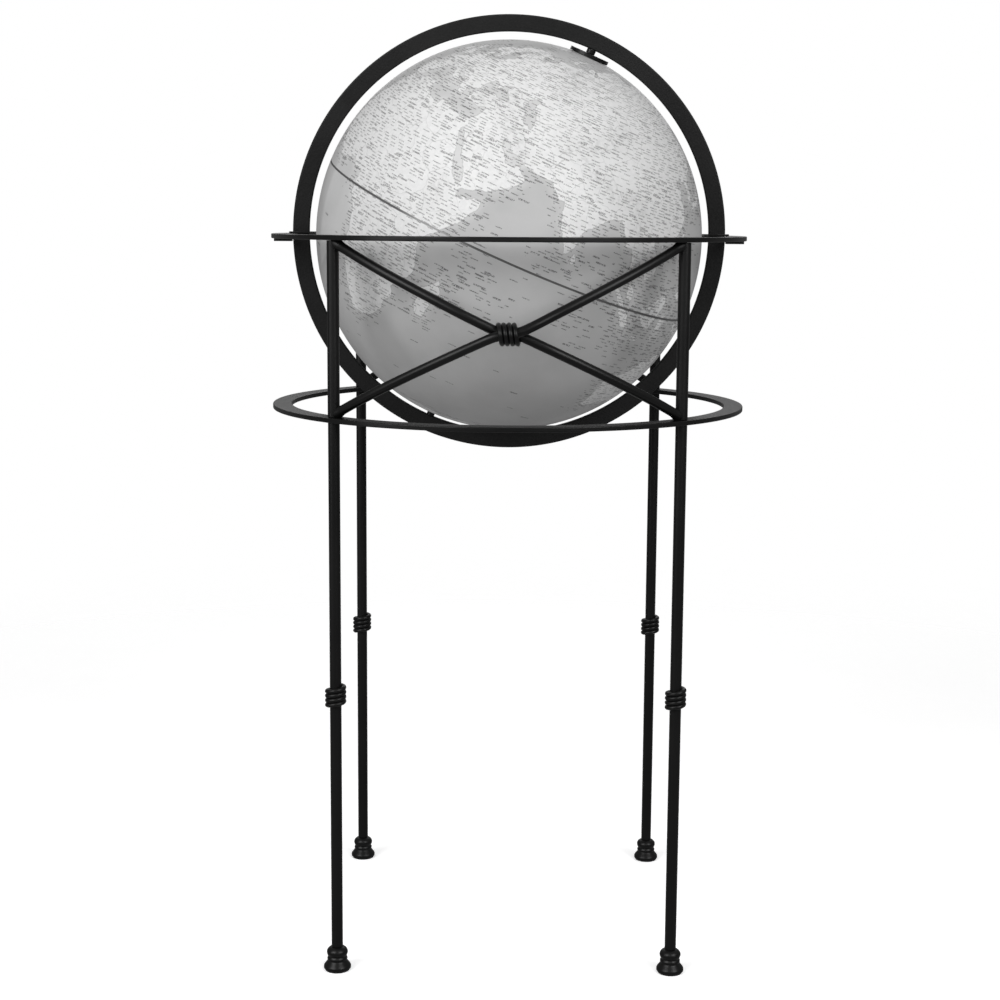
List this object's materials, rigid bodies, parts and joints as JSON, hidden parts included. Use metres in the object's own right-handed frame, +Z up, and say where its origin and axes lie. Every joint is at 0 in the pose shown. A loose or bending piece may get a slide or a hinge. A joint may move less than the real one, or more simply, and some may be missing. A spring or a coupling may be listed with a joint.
{
  "type": "floor standing globe",
  "caption": "Terrestrial globe that spins on a tilted axis in a swinging meridian ring, on a tall open stand with crossed braces.",
  "frame": {"origin": "on the floor, under the centre of the ball and of the stand", "axes": "+Z up, +X to the right and -Y to the front, seen from the front"},
  "size_m": [0.5, 0.5122, 0.9723],
  "materials": {
    "stand_metal": "satin black paint",
    "cast_meridian": "fine-grained black paint",
    "map_paper": "satin varnish over printed paper on a hard shell",
    "steel": "plain turned steel",
    "inner_plastic": "moulded",
    "pad_rubber": "matte"
  },
  "bodies": {
    "stand": {"brace_binding_front": "stand_metal", "brace_binding_rear": "stand_metal", "brace_rod_falling_front": "stand_metal", "brace_rod_falling_rear": "stand_metal", "brace_rod_rising_front": "stand_metal", "brace_rod_rising_rear": "stand_metal", "bracket_screw_left_1": "steel", "bracket_screw_left_2": "steel", "bracket_screw_right_1": "steel", "bracket_screw_right_2": "steel", "foot_front_left": "stand_metal", "foot_front_right": "stand_metal", "foot_pad_front_left": "pad_rubber", "foot_pad_front_right": "pad_rubber", "foot_pad_rear_left": "pad_rubber", "foot_pad_rear_right": "pad_rubber", "foot_rear_left": "stand_metal", "foot_rear_right": "stand_metal", "horizon_ring": "stand_metal", "leg_collar_front_left": "stand_metal", "leg_collar_front_right": "stand_metal", "leg_collar_rear_left": "stand_metal", "leg_collar_rear_right": "stand_metal", "leg_stud_front_left": "steel", "leg_stud_front_right": "steel", "leg_stud_rear_left": "steel", "leg_stud_rear_right": "steel", "lower_leg_front_left": "stand_metal", "lower_leg_front_right": "stand_metal", "lower_leg_rear_left": "stand_metal", "lower_leg_rear_right": "stand_metal", "lower_ring": "stand_metal", "pivot_bracket_left": "stand_metal", "pivot_bracket_right": "stand_metal", "ring_screw_front_left": "stand_metal", "ring_screw_front_right": "stand_metal", "ring_screw_rear_left": "stand_metal", "ring_screw_rear_right": "stand_metal", "swing_pin_left": "steel", "swing_pin_right": "steel", "upper_post_front_left": "stand_metal", "upper_post_front_right": "stand_metal", "upper_post_rear_left": "stand_metal", "upper_post_rear_right": "stand_metal"},
    "meridian": {"meridian_ring": "cast_meridian", "swing_clip_left": "stand_metal", "swing_clip_right": "stand_metal", "pole_pin_north": "steel", "pole_pin_south": "steel", "pole_spacer_north": "stand_metal", "pole_spacer_south": "stand_metal"},
    "ball": {"hemisphere_north": "map_paper", "hemisphere_south": "map_paper", "pole_bush_north": "inner_plastic", "pole_bush_south": "inner_plastic", "pole_disc": "stand_metal", "equator_sleeve": "inner_plastic"}
  },
  "joints": [
    {"name": "meridian_swing", "type": "hinge", "parent": "stand", "child": "meridian", "pos_m": [0, 0, 0.745], "axis": [1, 0, 0], "continuous": true},
    {"name": "ball_spin", "type": "hinge", "parent": "meridian", "child": "ball", "pos_m": [0, 0, 0.745], "axis": [0.3987, -0.1038, 0.9112], "continuous": true}
  ]
}
